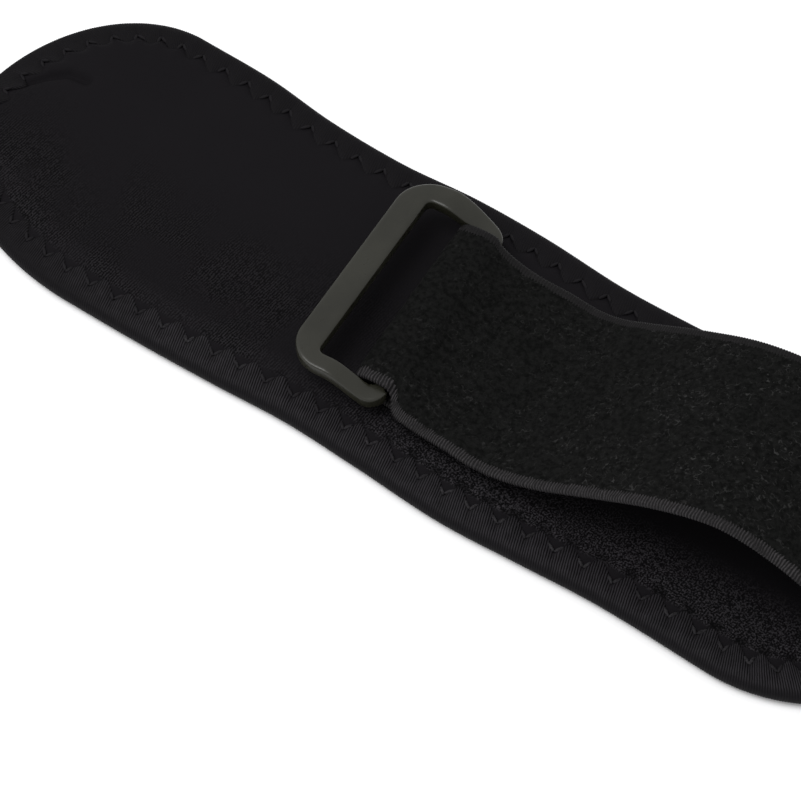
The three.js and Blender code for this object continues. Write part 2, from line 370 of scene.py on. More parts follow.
@dataclass(frozen=True)
class TapeFinish:
    """Ribbed stretch tape, bright and dark by turns, plain over the rim and smooth at each stitch. The
    ribs' brightness is painted: painted highlight on the ridges and painted shade in the valleys, strongest
    on the front-lit near side.
    """

    ribs: int
    lobes: int
    name: str = "stretch_tape"
    # Painted shade in the rib valleys and painted highlight on the rib ridges
    valley_shadow: Colour = (0.0010, 0.0009, 0.0011)
    ridge_highlight: Colour = (0.0260, 0.0240, 0.0273)
    plain: Colour = (0.0036, 0.0031, 0.0039)
    smooth: Colour = (0.0092, 0.0084, 0.0096)
    rim: float = 0.278
    rim_span: Span = (0.05, 0.17)
    left_rim: float = 0.1
    lip: float = 0.528
    lip_span: Span = (0.055, 0.02)
    notch_span: Span = (0.62, 0.95)
    front_light_span: Span = (-34.0, 14.0)
    right_span: Span = (-140.0, -70.0)
    grain: float = 0.4
    wear_size: float = 2.2
    drift: float = 0.7
    left_clear: Span = (0.3, 1.0)
    rim_clear: Span = (0.2, 1.0)
    far_clear: Span = (0.05, 1.0)
    yarn_shade: Span = (0.55, 1.15)
    wear_shade: Span = (0.35, 1.45)
    pull: float = 0.85
    roughness: Span = (0.5, 0.75)
    bump: float = 0.07

    def make(self) -> bpy.types.Material:
        """Builds the material.

        Returns:
            The material.
        """
        bench = NodeBench(self.name)
        place = bench.place()
        sheet = bench.axes(bench.flat())
        across = sheet.out("Y")
        yarn = bench.cloud(place, self.grain)
        uneven = bench.cloud(place, self.wear_size)
        rib = bench.waves(sheet + uneven * (self.drift / self.ribs), 1 / self.ribs) * 0.5 + 0.5
        at_notch = bench.waves(sheet + 0.25 / self.lobes, 1 / self.lobes).eased(*self.notch_span)
        pulled = at_notch * abs(across - self.lip).eased(*self.lip_span)
        right = bench.axes(place).eased(*self.right_span).between(*self.left_clear)
        # Painted highlight and shade: the ribs show bright and dark towards the front, where the front
        # light glances on them, and fade over the rim and on the far side
        near = bench.nearness(place, self.front_light_span) * right
        off_rim = (abs(across - self.rim) - (1 - right) * self.left_rim).eased(*self.rim_span)
        clear = off_rim.between(*self.rim_clear) * near.between(*self.far_clear)
        shade = rib * yarn.between(*self.yarn_shade) * uneven.between(*self.wear_shade)
        cloth = bench.blend(clear, self.plain, bench.blend(shade, self.valley_shadow, self.ridge_highlight))
        return bench.surface(
            Base_Color=bench.blend(pulled * near * self.pull, cloth, self.smooth),
            Roughness=yarn.between(*self.roughness),
            Normal=bench.relief(yarn, self.bump),
            Specular_IOR_Level=0.07,
        )


@dataclass(frozen=True)
class PileFinish:
    """Brushed loop pile: a soft dark mat in tufts, with fine curled filaments on it."""

    name: str = "loop_pile"
    # Dark hollows between the tufts, partly painted shade
    pit_and_shade: Colour = (0.0017, 0.0018, 0.0017)
    tuft: Colour = (0.0060, 0.0061, 0.0059)
    filament: Colour = (0.026, 0.026, 0.0256)
    tuft_size: float = 1.3
    tuft_span: Span = (0.32, 0.66)
    fuzz_size: float = 0.6
    curl_sizes: tuple[float, float] = (2.0, 1.2)
    curl_levels: tuple[float, float] = (0.5, 0.54)
    curl_width: float = 0.04
    gap_size: float = 1.2
    gap_span: Span = (0.5, 0.64)
    bunch_size: float = 9.0
    bunch_span: Span = (0.3, 0.65)
    right_span: Span = (-25.0, 45.0)
    right_share: Span = (0.5, 1.3)
    bump: float = 0.45

    def make(self) -> bpy.types.Material:
        """Builds the material.

        Returns:
            The material.
        """
        bench = NodeBench(self.name)
        place = bench.place()
        right = bench.axes(place).eased(*self.right_span).between(*self.right_share)
        bunches = bench.cloud(place, self.bunch_size).eased(*self.bunch_span)
        broken = bench.cloud(place, self.gap_size, 1.0).eased(*self.gap_span)
        wide, fine = (
            abs(bench.cloud(place, size, 1.0) - level).eased(self.curl_width, 0.0)
            for size, level in zip(self.curl_sizes, self.curl_levels)
        )
        curls = (wide + fine) * broken * bunches * right
        mat = bench.cloud(place, self.tuft_size, 3.0) * 0.75 + bench.cloud(place, self.fuzz_size) * 0.25
        colour = bench.blend(mat.eased(*self.tuft_span), self.pit_and_shade, self.tuft)
        return bench.surface(
            Base_Color=bench.blend(curls * 0.8, colour, self.filament),
            Roughness=0.92 - curls * 0.3,
            Normal=bench.relief(mat * 0.7 + curls * 0.3, self.bump),
            Specular_IOR_Level=0.05,
        )


@dataclass(frozen=True)
class SelvedgeFinish:
    """The strap's bound edges: bright filament yarn wrapped closely across the edge. Painted highlight on
    the ribs and painted shade between them, with the far edge painted darker as it faces away from the
    light.
    """

    ribs: int
    name: str = "strap_selvedge"
    # Painted shade between the ribs and painted highlight on them
    valley_shadow: Colour = (0.0022, 0.0020, 0.0022)
    ridge_highlight: Colour = (0.0440, 0.0410, 0.0430)
    grain: float = 0.5
    wear_size: float = 3.5
    drift: float = 2.0
    pile_side: Span = (0.04, 0.20)
    front_light_span: Span = (-26.0, 12.0)
    pile_shade: Span = (0.2, 1.0)
    yarn_shade: Span = (0.1, 1.4)
    wear_shade: Span = (0.1, 1.7)
    far_shade: Span = (0.3, 1.0)
    roughness: Span = (0.5, 0.7)
    bump: float = 0.1

    def make(self) -> bpy.types.Material:
        """Builds the material.

        Returns:
            The material.
        """
        bench = NodeBench(self.name)
        place = bench.place()
        sheet = bench.axes(bench.flat())
        yarn = bench.cloud(place, self.grain, 3.0)
        worn = bench.cloud(place, self.wear_size)
        rib = bench.waves(sheet + worn * (self.drift / self.ribs), 1 / self.ribs) * 0.5 + 0.5
        bare = abs(sheet.out("Y") - 0.5).eased(*self.pile_side).between(*self.pile_shade)
        # Painted highlight on the near edge's ribs and painted shade on the far edge, which faces away from
        # the light
        near = bench.nearness(place, self.front_light_span)
        ribbed = rib * rib * near * 0.8 + (1 - near) * 0.3 + 0.12
        shade = ribbed * yarn.between(*self.yarn_shade) * worn.between(*self.wear_shade) * bare
        return bench.surface(
            Base_Color=bench.blend(shade * near.between(*self.far_shade), self.valley_shadow, self.ridge_highlight),
            Roughness=worn.between(*self.roughness),
            Normal=bench.relief(yarn, self.bump),
            Specular_IOR_Level=0.1,
        )


@dataclass(frozen=True)
class ThreadFinish:
    """Loose sewing thread, a little brighter than the cloth that it pulls in. The brighter stitches are a
    painted highlight, only along the near edge where the front light falls.
    """

    name: str = "sewing_thread"
    ground: Colour = (0.0100, 0.0092, 0.0104)
    raised: Colour = (0.0290, 0.0276, 0.0296)
    ply: float = 0.5
    ply_span: Span = (0.3, 0.7)
    slack: float = 10.0
    slack_span: Span = (0.36, 0.6)
    slack_share: Span = (0.25, 1.0)
    front_light_span: Span = (0.0, 24.0)
    right_span: Span = (-140.0, -70.0)
    roughness: Span = (0.5, 0.7)
    bump: float = 0.1

    def make(self) -> bpy.types.Material:
        """Builds the material.

        Returns:
            The material.
        """
        bench = NodeBench(self.name)
        place = bench.place()
        ply = bench.cloud(place, self.ply, 3.0)
        # Painted highlight: the thread is brighter only towards the front, where the front light falls
        near = bench.nearness(place, self.front_light_span) * bench.axes(place).eased(*self.right_span)
        loose = bench.cloud(place, self.slack, 1.0).eased(*self.slack_span).between(*self.slack_share)
        return bench.surface(
            Base_Color=bench.blend(ply.eased(*self.ply_span) * loose * near, self.ground, self.raised),
            Roughness=ply.between(*self.roughness),
            Normal=bench.relief(ply, self.bump),
            Specular_IOR_Level=0.04,
        )


@dataclass(frozen=True)
class PlasticFinish:
    """Moulded plastic: satin grey with a faint cloudy flow and a fine mould grain."""

    name: str = "moulded_plastic"
    ground: Colour = (0.0098, 0.0097, 0.0060)
    raised: Colour = (0.0148, 0.0146, 0.0098)
    flow_size: float = 9.0
    flow_span: Span = (0.3, 0.7)
    grain: float = 0.35
    scuff_size: float = 2.2
    scuff_span: Span = (0.58, 0.72)
    roughness: Span = (0.26, 0.36)
    polish: float = 0.06
    bump: float = 0.03

    def make(self) -> bpy.types.Material:
        """Builds the material.

        Returns:
            The material.
        """
        bench = NodeBench(self.name)
        place = bench.place()
        flow = bench.cloud(place, self.flow_size, 4.0)
        grain = bench.cloud(place, self.grain)
        scuffs = bench.cloud(place, self.scuff_size, 5.0).eased(*self.scuff_span)
        return bench.surface(
            Base_Color=bench.blend(flow.eased(*self.flow_span), self.ground, self.raised),
            Roughness=grain.between(*self.roughness) - scuffs * self.polish,
            Normal=bench.relief(grain * 0.7 + flow * 0.3, self.bump),
            Specular_IOR_Level=0.36,
        )


@dataclass(frozen=True)
class HookFinish:
    """Nylon hook tape: a dull woven ground and glossier hooks."""

    name: str = "hook_tape"
    ground: Colour = (0.0055, 0.0055, 0.0058)
    raised: Colour = (0.014, 0.014, 0.0145)
    weave: float = 0.7
    lint_size: float = 2.5
    roughness: Span = (0.45, 0.7)
    bump: float = 0.1

    def make(self) -> bpy.types.Material:
        """Builds the material.

        Returns:
            The material.
        """
        bench = NodeBench(self.name)
        place = bench.place()
        axes = bench.axes(place)
        weave = (bench.waves(axes, self.weave) * bench.waves(axes.out("Y"), self.weave)) * 0.5 + 0.5
        lint = bench.cloud(place, self.lint_size, 3.0)
        return bench.surface(
            Base_Color=bench.blend(weave * 0.5 + lint * 0.5, self.ground, self.raised),
            Roughness=lint.between(*self.roughness),
            Normal=bench.relief(weave, self.bump),
            Specular_IOR_Level=0.35,
        )


@dataclass(frozen=True)
class FloorFinish:
    """A plain white sweep."""

    name: str = "floor_paper"
    paper: Colour = (0.93, 0.93, 0.935)
    shade: Colour = (0.91, 0.91, 0.915)
    cloud_size: float = 60.0

    def make(self) -> bpy.types.Material:
        """Builds the material.

        Returns:
            The material.
        """
        bench = NodeBench(self.name)
        colour = bench.blend(bench.cloud(bench.place(), self.cloud_size), self.shade, self.paper)
        return bench.surface(Base_Color=colour, Roughness=0.9, Specular_IOR_Level=0.1)


def eased(value: float, low: float, high: float) -> float:
    """A smooth step of a number, from 0 at low to 1 at high."""
    share = min(max((value - low) / (high - low), 0.0), 1.0)
    return share * share * (3 - 2 * share)


def boxed(value: float, power: float) -> float:
    """A number from -1 to 1 raised to a power with its sign kept, which squares up a circle."""
    return math.copysign(abs(value) ** power, value)


def laid_grid(columns: int, rows: int, put: Callable[[int, int], Vector]) -> bmesh.types.BMesh:
    """A grid whose points are moved onto a surface.

    Args:
        columns: How many faces it has one way.
        rows: How many faces it has the other way.
        put: Gives the place of a point from its column and row.

    Returns:
        The mesh, with a UV map over the unit square.
    """
    mesh = bmesh.new()
    mesh.loops.layers.uv.new("UVMap")
    bmesh.ops.create_grid(mesh, x_segments=columns, y_segments=rows, size=0.5, calc_uvs=True)
    for vertex in mesh.verts:
        column = round((vertex.co.x + 0.5) * columns)
        row = round((vertex.co.y + 0.5) * rows)
        vertex.co = put(column, row)
    return mesh


def arcs_along(points: Sequence[Vector]) -> list[float]:
    """How far along a line through some points each of them is.

    Args:
        points: The points, in order.

    Returns:
        A distance for each point, from 0 at the first.
    """
    arcs = [0.0]
    for before, after in zip(points, points[1:]):
        arcs.append(arcs[-1] + (after - before).length)
    return arcs


def close_seams(mesh: bmesh.types.BMesh) -> None:
    """Merges a grid's meeting edges and fills the ends that are left open.

    Args:
        mesh: The grid's mesh.
    """
    bmesh.ops.remove_doubles(mesh, verts=mesh.verts[:], dist=SEAM)
    open_edges = [edge for edge in mesh.edges if edge.is_boundary]
    if open_edges:
        bmesh.ops.holes_fill(mesh, edges=open_edges, sides=0)


def thickened(mesh: bmesh.types.BMesh) -> list[bmesh.types.BMVert]:
    """Gives an open sheet a second face and walls round its rim.

    Args:
        mesh: The sheet.

    Returns:
        The second face's points, which lie on the first's until they are moved.
    """
    grown = bmesh.ops.extrude_face_region(mesh, geom=mesh.faces[:], use_keep_orig=True)
    return [item for item in grown["geom"] if isinstance(item, bmesh.types.BMVert)]


def in_scene(name: str, data: bpy.types.ID) -> bpy.types.Object:
    """Makes an object of some data and links it into the scene.

    Args:
        name: The object's name.
        data: Its mesh, light or camera.

    Returns:
        The object.
    """
    made = bpy.data.objects.new(name, data)
    bpy.context.scene.collection.objects.link(made)
    return made


def finished(name: str, mesh: bmesh.types.BMesh, finish: bpy.types.Material) -> bpy.types.Object:
    """Makes an object of a mesh in one finish.

    Args:
        name: The object's name.
        mesh: Its mesh, which is freed.
        finish: Its material.

    Returns:
        The object, in the scene.
    """
    data = bpy.data.meshes.new(name)
    mesh.to_mesh(data)
    mesh.free()
    data.materials.append(finish)
    return in_scene(name, data)


class Spline:
    """A centripetal curve through rows of numbers."""

    def __init__(self, rows: Sequence[Sequence[float]]) -> None:
        """Keeps the rows, with one more beyond each end.

        Args:
            rows: The numbers at each point, all of one length.
        """
        points = [Vector(row) for row in rows]
        self.rows = [2 * points[0] - points[1], *points, 2 * points[-1] - points[-2]]
        self.spans = len(points) - 1

    def at(self, share: float) -> Vector:
        """The numbers at a share of the rows.

        Args:
            share: From 0 at the first row to 1 at the last.

        Returns:
            The numbers there.
        """
        reach = min(max(share, 0.0), 1.0) * self.spans
        first = min(int(reach), self.spans - 1)
        points = self.rows[first:first + 4]
        knots = [0.0]
        for before, after in zip(points, points[1:]):
            knots.append(knots[-1] + max((after - before).length ** 0.5, SEAM))
        knot = knots[1] + (reach - first) * (knots[2] - knots[1])
        pulled = self._blended(points, knots[:3], knots[1:], knot)
        pulled = self._blended(pulled, knots[:2], knots[2:], knot)
        return self._blended(pulled, knots[1:2], knots[2:3], knot)[0]

    @staticmethod
    def _blended(points: list[Vector], lows: list[float], highs: list[float], knot: float) -> list[Vector]:
        """Each point blended with the next, by where the knot lies between a low and a high one."""
        pairs = zip(points, points[1:], lows, highs)
        return [one.lerp(two, (knot - low) / (high - low)) for one, two, low, high in pairs]


@dataclass
class Workbench:
    """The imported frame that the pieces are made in, and how a finished mesh joins it."""

    origin: Vector

    def point(self, x: float, y: float, z: float) -> Vector:
        """A place in millimetres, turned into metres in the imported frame."""
        return self.origin + Vector((x, y, z)) * MM

    def matrix(self, centre: Vector, axes: tuple[Vector, Vector, Vector]) -> Matrix:
        """Carries a unit shape to a place.

        Args:
            centre: Its middle in millimetres.
            axes: Its three half sizes as vectors in millimetres.

        Returns:
            The matrix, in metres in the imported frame.
        """
        turn = Matrix(axes).transposed() * MM
        return Matrix.Translation(self.point(*centre)) @ turn.to_4x4()

    def bead(self, mesh: bmesh.types.BMesh, centre: Vector, axes: tuple[Vector, Vector, Vector]) -> None:
        """Adds a stretched bead of thread to a mesh, with its middle and half sizes in millimetres."""
        sides = {"u_segments": THREAD_SIDES, "v_segments": THREAD_SIDES}
        bmesh.ops.create_uvsphere(mesh, radius=1.0, matrix=self.matrix(centre, axes), **sides)

    def piece(
        self,
        name: str,
        mesh: bmesh.types.BMesh,
        finish: bpy.types.Material,
        slot: Slot,
        body: Body = Body.BAND,
    ) -> bpy.types.Object:
        """Makes a finished mesh a piece of the brace.

        Args:
            name: The piece's name.
            mesh: Its mesh, which is freed.
            finish: Its material.
            slot: The record's slot for its finish. It is not used.
            body: The body that it moves with.

        Returns:
            The piece's object.
        """
        bmesh.ops.recalc_face_normals(mesh, faces=mesh.faces[:])
        for face in mesh.faces:
            face.smooth = True
        made = finished(name, mesh, finish)
        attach(made, body.value)
        LOG.info("%s: %d faces", name, len(made.data.polygons))
        return made


class HalfWidth(NamedTuple):
    """The band's half widths at a place along it, towards the front and towards the back."""

    x: float
    near: float
    far: float


@dataclass
class BandOutline:
    """The band's outline, anticlockwise from above: a curve along each side and a round at each end."""

    left_tip: float = -116.0
    right_tip: float = 155.0
    left_near_start: float = -60.0
    left_far_start: float = -82.0
    right_start: float = 115.0
    widths: tuple[HalfWidth, ...] = (
        HalfWidth(-82, 40.0, 42.1),
        HalfWidth(-60, 39.8, 41.4),
        HalfWidth(-40, 39.7, 38.9),
        HalfWidth(-18, 39.0, 38.1),
        HalfWidth(2, 38.0, 39.4),
        HalfWidth(22, 38.7, 39.1),
        HalfWidth(46, 39.9, 37.3),
        HalfWidth(66, 38.8, 37.6),
        HalfWidth(86, 37.6, 38.2),
        HalfWidth(115, 38.2, 38.3),
    )
    steps: int = 400
    probe: float = 1.0
    length: float = field(init=False)
    corners: list[float] = field(init=False)

    def __post_init__(self) -> None:
        """Walks the outline once and measures it."""
        near = [(row.x, -row.near) for row in self.widths if row.x >= self.left_near_start]
        far = [(row.x, row.far) for row in reversed(self.widths) if row.x >= self.left_far_start]
        rounds = [
            self._quarter(self.right_start, self.right_tip, near[-1][1], -90.0),
            self._quarter(self.right_start, self.right_tip, far[0][1], 0.0),
            self._quarter(self.left_far_start, self.left_tip, far[-1][1], 90.0),
            self._quarter(self.left_near_start, self.left_tip, near[0][1], 180.0),
        ]
        stretches = [self._side(near), *rounds[:2], self._side(far), *rounds[2:]]
        self._points = [point for stretch in stretches for point in stretch]
        self._arcs = arcs_along(self._points + self._points[:1])
        self.length = self._arcs[-1]
        middles = [turn[self.steps // 2] for turn in rounds]
        self.corners = [self._arcs[self._points.index(middle)] for middle in middles]
        self._finder = kdtree.KDTree(len(self._points))
        for index, point in enumerate(self._points):
            self._finder.insert(point.to_3d(), index)
        self._finder.balance()

    def _side(self, rows: list[tuple[float, float]]) -> list[Vector]:
        """Points along one side, without its last."""
        curve = Spline(rows)
        return [curve.at(step / self.steps) for step in range(self.steps)]

    def _quarter(self, start: float, tip: float, half_width: float, turn: float) -> list[Vector]:
        """Points round a quarter of an end, without its last.

        Args:
            start: Where the round begins along the band.
            tip: Where the end's tip is.
            half_width: The half width where it begins.
            turn: The angle in degrees that it starts at.

        Returns:
            The points.
        """
        angles = [math.radians(turn + 90.0 * step / self.steps) for step in range(self.steps)]
        reach = abs(tip - start)
        return [Vector((start + reach * math.cos(a), abs(half_width) * math.sin(a))) for a in angles]

    def at(self, arc: float) -> Vector:
        """The point at a distance along the outline.

        Args:
            arc: The distance. It may run past a whole turn.

        Returns:
            The point.
        """
        arc %= self.length
        index = min(bisect.bisect_right(self._arcs, arc), len(self._points)) - 1
        after = self._points[(index + 1) % len(self._points)]
        share = (arc - self._arcs[index]) / (self._arcs[index + 1] - self._arcs[index])
        return self._points[index].lerp(after, share)

    def inward(self, arc: float) -> Vector:
        """The direction into the band at a distance along the outline."""
        along = self.at(arc + self.probe) - self.at(arc - self.probe)
        return Vector((-along.y, along.x)).normalized()

    def inset(self, arc: float, depth: float) -> Vector:
        """The point at a depth in from a distance along the outline."""
        return self.at(arc) + self.inward(arc) * depth

    def nearest(self, spot: Vector) -> tuple[float, float]:
        """How far in a point of the band is, and how far along the outline."""
        _, index, depth = self._finder.find(spot.to_3d())
        return depth, self._arcs[index]


class TapePoint(NamedTuple):
    """A point of the tape's section.

    It lies inset in from the rim plus its share, reach, of the tape's cover. Rib is how much of a rib's
    height it has, and puff how far it swells between two stitches.
    """

    inset: float
    reach: float
    z: float
    rib: float
    puff: float


@dataclass
class EdgeBinding:
    """Ribbed tape folded over the band's edge, drawn into scallops by the zigzag stitch that holds it."""

    bench: Workbench
    outline: BandOutline
    flat_width: float = 19.0
    lobes: int = 88
    first_notch: float = 5.1
    slant: float = 0.3
    ribs_per_lobe: int = 12
    steps_per_rib: int = 4
    rib_height: float = 0.08
    notch_cover: float = 5.2
    lobe_cover: float = 8.9
    lobe_power: float = 1.5
    around: int = 22
    section: tuple[TapePoint, ...] = (
        TapePoint(0.0, 1.0, 0.35, 0.4, 0.0),
        TapePoint(-1.0, 1.0, 0.12, 1.0, 0.0),
        TapePoint(2.0, 0.0, 0.16, 1.0, 0.0),
        TapePoint(1.1, 0.0, 0.40, 0.8, 0.0),
        TapePoint(0.35, 0.0, 1.10, 0.5, 0.0),
        TapePoint(0.0, 0.0, 2.40, 0.3, 0.0),
        TapePoint(0.35, 0.0, 3.65, 0.5, 0.0),
        TapePoint(1.1, 0.0, 4.40, 0.8, 0.05),
        TapePoint(2.0, 0.0, 4.65, 1.0, 0.15),
        TapePoint(-1.0, 1.0, 4.60, 1.0, 0.42),
        TapePoint(0.0, 1.0, 4.30, 0.4, 0.22),
        TapePoint(-0.1, 1.0, 4.05, 0.0, 0.10),
        TapePoint(2.0, 0.0, 4.05, 0.0, 0.0),
        TapePoint(1.3, 0.0, 3.65, 0.0, 0.0),
        TapePoint(0.9, 0.0, 2.40, 0.0, 0.0),
        TapePoint(1.3, 0.0, 1.10, 0.0, 0.0),
        TapePoint(2.0, 0.0, 0.75, 0.0, 0.0),
        TapePoint(-0.1, 1.0, 0.75, 0.0, 0.0),
    )

    @property
    def pitch(self) -> float:
        """The length of one scallop along the edge."""
        return self.outline.length / self.lobes

    @property
    def ribs(self) -> int:
        """How many ribs the tape has all round."""
        return self.lobes * self.ribs_per_lobe

    def notch(self, index: int) -> float:
        """How far along the outline a notch between two scallops is."""
        return self.first_notch + index * self.pitch

    def spot(self, arc: float, depth: float) -> Vector:
        """The point at a depth in from a place along the edge, by way of the slanting ribs.

        Args:
            arc: The place, as a distance along the outline.
            depth: How far in it is.

        Returns:
            The point.
        """
        inward = self.outline.inward(arc)
        along = Vector((inward.y, -inward.x))
        return self.outline.at(arc) + (inward - along * self.slant) * depth

    def fullness(self, arc: float) -> float:
        """How full the tape is at a place along the edge: 0 in a notch and 1 in the middle of a scallop."""
        phase = ((arc - self.first_notch) / self.pitch) % 1.0
        return 1.0 - abs(2.0 * phase - 1.0) ** self.lobe_power

    def build(self, finish: bpy.types.Material) -> bpy.types.Object:
        """Carries the section round the outline.

        Args:
            finish: The tape's material.

        Returns:
            The tape.
        """
        curve = Spline([*self.section, self.section[0]])
        samples = [TapePoint(*curve.at(step / self.around)) for step in range(self.around)]
        normals = self._normals(samples)
        stations = self.ribs * self.steps_per_rib
        arcs = [self.first_notch + self.outline.length * step / stations for step in range(stations)]
        rims = [self.outline.at(arc) for arc in arcs]
        inwards = [self.spot(arc, 1.0) - rim for arc, rim in zip(arcs, rims)]
        fulls = [self.fullness(arc) for arc in arcs]

        def put(column: int, row: int) -> Vector:
            """The place of a point on the tape.

            Args:
                column: Its step round the outline.
                row: Its step round the section.

            Returns:
                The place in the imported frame.
            """
            station = column % stations
            sample, normal = samples[row % self.around], normals[row % self.around]
            full = fulls[station]
            cover = self.notch_cover + (self.lobe_cover - self.notch_cover) * full
            wave = math.sin(2 * math.pi * station / self.steps_per_rib)
            rib = wave * self.rib_height * sample.rib
            depth = sample.inset + sample.reach * cover + rib * normal.x
            spot = rims[station] + inwards[station] * depth
            return self.bench.point(spot.x, spot.y, sample.z + sample.puff * full + rib * normal.y)

        mesh = laid_grid(stations, self.around, put)
        close_seams(mesh)
        tape = self.bench.piece("edge_tape", mesh, finish, Slot.TAPE)
        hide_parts("edge_binding")
        return tape

    def _normals(self, samples: list[TapePoint]) -> list[Vector]:
        """The outward direction at each point of the section, in from the rim and up.

        Args:
            samples: The section's points.

        Returns:
            The directions, in the same order.
        """
        cover = (self.notch_cover + self.lobe_cover) / 2
        flat = [Vector((sample.inset + sample.reach * cover, sample.z)) for sample in samples]
        turns = [flat[(i + 1) % len(flat)] - flat[i - 1] for i in range(len(flat))]
        return [Vector((-turn.y, turn.x)).normalized() for turn in turns]


class CreasePoint(NamedTuple):
    """A place on a crease of the band's face."""

    x: float
    y: float


@dataclass
class BandPanel:
    """The padded band, thin at its bound rim and full inside it."""

    bench: Workbench
    outline: BandOutline
    binding: EdgeBinding
    thickness: float = 5.0
    rim_inset: float = 1.25
    rim_top: float = 4.2
    rim_under: float = 0.85
    rim_span: Span = (0.3, 2.6)
    swell_from: float = 4.8
    swell_to: float = 8.2
    scallop_delay: float = 1.7
    groove_inset: float = 9.4
    groove_width: float = 1.1
    groove_depth: float = 0.12
    wave_size: float = 34.0
    wave_height: float = 0.35
    crease: tuple[CreasePoint, ...] = (
        CreasePoint(-111.7, -0.3),
        CreasePoint(-104.8, 8.9),
        CreasePoint(-100.4, 12.8),
        CreasePoint(-95.5, 13.4),
    )
    crease_depth: float = 1.9
    crease_width: float = 1.15
    puff: CreasePoint = CreasePoint(-98.0, 24.0)
    puff_size: float = 15.0
    puff_height: float = 1.5
    columns: int = 290
    rows: int = 86

    def build(self, finish: bpy.types.Material) -> bpy.types.Object:
        """Fills the outline with a grid and thickens it.

        Args:
            finish: The face cloth's material.

        Returns:
            The panel.
        """
        mesh = laid_grid(self.columns, self.rows, self._patch())
        depths = mesh.verts.layers.float.new(EdgeField.DEPTH.value)
        scallops = mesh.verts.layers.float.new(EdgeField.SCALLOP.value)
        for vertex in mesh.verts:
            vertex[depths], vertex[scallops] = self._edge(vertex.co.xy)
        under = mesh.verts[:]
        top = thickened(mesh)
        for vertex in under:
            vertex.co = self._lifted(vertex.co, self._under)
        for vertex in top:
            vertex.co = self._lifted(vertex.co, self._top)
        panel = self.bench.piece("padded_band", mesh, finish, Slot.NEOPRENE)
        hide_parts("body_panel")
        return panel

    def _lifted(self, flat: Vector, height: Callable[[Vector], float]) -> Vector:
        """A flat point in millimetres at its height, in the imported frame."""
        return self.bench.point(flat.x, flat.y, height(flat.xy))

    def _patch(self) -> Callable[[int, int], Vector]:
        """A flat patch between four stretches of the rim.

        Returns:
            A function that gives a point in millimetres from its column and row.
        """
        right_near, right_far, left_far, left_near = self.outline.corners

        def stretch(start: float, end: float, count: int) -> list[Vector]:
            """Points on the rim between two distances along the outline."""
            arcs = [start + (end - start) * step / count for step in range(count + 1)]
            return [self.outline.inset(arc, self.rim_inset) for arc in arcs]

        near = stretch(left_near - self.outline.length, right_near, self.columns)
        far = stretch(left_far, right_far, self.columns)
        left = stretch(left_near, left_far, self.rows)
        right = stretch(right_near, right_far, self.rows)

        def put(column: int, row: int) -> Vector:
            """The place of a point on the patch.

            Args:
                column: Its step along the band.
                row: Its step across it.

            Returns:
                The place in millimetres.
            """
            across, along = row / self.rows, column / self.columns
            spot = near[column].lerp(far[column], across) + left[row].lerp(right[row], along)
            spot -= near[0].lerp(near[-1], along).lerp(far[0].lerp(far[-1], along), across)
            return spot.to_3d()

        return put

    def _edge(self, spot: Vector) -> tuple[float, float]:
        """How far in a place on the band is, and how full the scallop beside it is."""
        depth, arc = self.outline.nearest(spot)
        return depth, self.binding.fullness(arc + self.binding.slant * depth)

    def _top(self, spot: Vector) -> float:
        """The height of the face at a place on the band.

        Args:
            spot: The place.

        Returns:
            The height over the table.
        """
        depth, scallop = self._edge(spot)
        delay = self.scallop_delay * scallop
        full = eased(depth, self.swell_from + delay, self.swell_to + delay)
        rim = eased(depth, *self.rim_span)
        height = self.rim_top * rim + self.rim_under * (1 - rim)
        height += (self.thickness - self.rim_top) * full
        groove = math.exp(-(((depth - self.groove_inset) / self.groove_width) ** 2))
        return height + full * self._relief(spot) - self.groove_depth * groove * scallop

    def _under(self, spot: Vector) -> float:
        """The height of the lining side at a place on the band."""
        depth, _ = self.outline.nearest(spot)
        return self.rim_under * (1 - eased(depth, self.swell_from, self.swell_to))

    def _relief(self, spot: Vector) -> float:
        """The soft waves, the crease and the puffed corner of the face.

        Args:
            spot: A place on the band.

        Returns:
            How far they raise the face there.
        """
        waves = noise.noise(spot.to_3d() / self.wave_size) * self.wave_height
        spans = zip(self.crease, self.crease[1:])
        gap = min(self._gap(spot, Vector(start), Vector(end)) for start, end in spans)
        crease = self.crease_depth * math.exp(-((gap / self.crease_width) ** 2))
        puff = self.puff_height * math.exp(-(((spot - Vector(self.puff)).length / self.puff_size) ** 2))
        return waves + puff - crease

    @staticmethod
    def _gap(spot: Vector, start: Vector, end: Vector) -> float:
        """How far a place is from a straight stretch.

        Args:
            spot: The place.
            start: Where the stretch begins.
            end: Where it ends.

        Returns:
            The distance.
        """
        along = end - start
        share = min(max((spot - start).dot(along) / along.length_squared, 0.0), 1.0)
        return (spot - start - along * share).length


class StitchArm(NamedTuple):
    """Where an arm of a stitch ends, along the edge and in from the stitch's tip."""

    along: float
    inward: float


